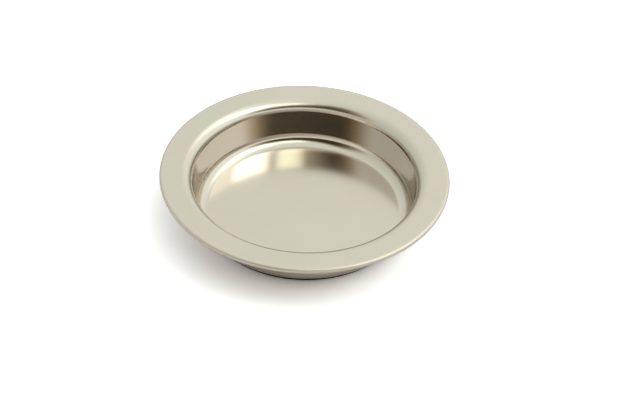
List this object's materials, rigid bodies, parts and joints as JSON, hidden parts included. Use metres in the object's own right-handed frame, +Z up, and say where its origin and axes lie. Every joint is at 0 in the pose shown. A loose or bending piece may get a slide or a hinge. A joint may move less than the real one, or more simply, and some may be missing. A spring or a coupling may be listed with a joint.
{
  "type": "counting dish",
  "caption": "Round pressed metal dish with a wide flat rim, its edge curled over a wire, a shallow straight-sided well and a non-slip rubber base pad.",
  "frame": {"origin": "on the dish's axis, in the plane that the pad stands on", "axes": "+Z is up along the dish's axis, out of the well; the dish is round, so X and Y are alike"},
  "size_m": [0.1, 0.1, 0.0185],
  "materials": {
    "satin_nickel": "fine satin nickel plate on pressed sheet",
    "bright_wire": "bright drawn wire",
    "bonding_film": "clear-amber adhesive film",
    "pad_rubber": "moulded matt rubber"
  },
  "bodies": {
    "root": {"dish_shell": "satin_nickel", "edge_wire": "bright_wire", "pad_adhesive": "bonding_film", "base_pad": "pad_rubber"}
  },
  "joints": []
}
